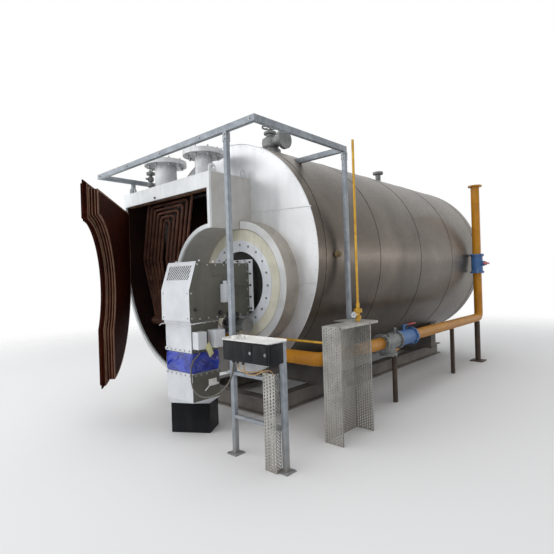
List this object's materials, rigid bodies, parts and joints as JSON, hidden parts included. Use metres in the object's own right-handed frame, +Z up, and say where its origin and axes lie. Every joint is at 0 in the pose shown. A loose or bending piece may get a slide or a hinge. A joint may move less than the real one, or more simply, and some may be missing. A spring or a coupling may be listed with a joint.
{
  "type": "industrial boiler",
  "caption": "Horizontal steam boiler with clad shell, open front smoke chamber with hairpin superheater and hinged door, burner with air duct, gas line and service frame.",
  "frame": {"origin": "centre of the underside of the front cross rail, on the floor below the shell axis in the plane of the boiler front", "axes": "+X right seen from the burner, +Y from the front to the rear along the shell axis, +Z up"},
  "size_m": [3.308, 7.0191, 3.704],
  "materials": {
    "shell_aluminium": "brushed, weathered",
    "front_aluminium": "bright sheet with seams",
    "rusty_steel": "rough, rusted",
    "base_steel": "matt",
    "insulation_board": "matt, fibrous",
    "bolted_steel": "satin",
    "dark_steel": "matt",
    "chamber_cladding": "satin",
    "frame_white": "satin",
    "fitting_steel": "satin",
    "valve_iron": "matt",
    "burner_grey": "satin",
    "burner_white": "satin",
    "blue_wrap": "soft sheen",
    "black_paint": "matt",
    "lid_light": "satin",
    "galvanised_steel": "galvanised",
    "gas_yellow": "satin, worn",
    "valve_blue": "satin",
    "support_brown": "matt",
    "brass_yellow": "satin",
    "cable_dark": "matt",
    "cable_beige": "matt"
  },
  "bodies": {
    "root": {"shell_cladding": "shell_aluminium", "front_end": "front_aluminium", "rear_end": "shell_aluminium", "tube_plate": "rusty_steel", "base_rails": "base_steel", "saddles": "base_steel", "furnace_collar": "front_aluminium", "insulation_ring": "insulation_board", "burner_mount_ring": "bolted_steel", "chamber_walls": "chamber_cladding", "chamber_lining": "rusty_steel", "chamber_frame": "frame_white", "lifting_lugs": "fitting_steel", "steam_inlet_nozzle": "fitting_steel", "steam_outlet_nozzle": "fitting_steel", "superheater_tubes": "rusty_steel", "superheater_header": "rusty_steel", "hinge_brackets": "fitting_steel", "crown_valve": "valve_iron", "shell_stubs": "valve_iron", "chamber_valve": "valve_iron", "rear_manhole": "shell_aluminium", "burner_casing": "burner_grey", "burner_front_cover": "burner_white", "burner_flange": "burner_white", "burner_neck": "dark_steel", "burner_controls": "burner_white", "air_duct": "burner_white", "air_duct_wrapped": "blue_wrap", "air_inlet_box": "black_paint", "service_frame": "galvanised_steel", "terminal_box": "black_paint", "terminal_lid": "lid_light", "terminal_stand": "galvanised_steel", "cable_tray": "galvanised_steel", "cable_guard": "galvanised_steel", "burner_cable": "cable_dark", "terminal_lead_a": "cable_beige", "terminal_lead_b": "cable_beige", "gas_burner_block": "valve_iron", "gas_front_pipe": "gas_yellow", "gas_filter": "valve_iron", "gas_ball_valve": "valve_blue", "gas_rear_pipe": "gas_yellow", "gas_riser_valve": "valve_blue", "gas_riser_pipe": "gas_yellow", "gas_pipe_supports": "support_brown", "pilot_gas_line": "brass_yellow"},
    "door": {"door_plate": "rusty_steel", "door_cladding": "shell_aluminium", "door_lining": "rusty_steel", "door_knuckles": "fitting_steel"}
  },
  "joints": [
    {"name": "door_hinge", "type": "hinge", "parent": "root", "child": "door", "pos_m": [-1.438, -0.632, 0], "axis": [0, 0, 1], "range_deg": [-75, 38.4]}
  ]
}
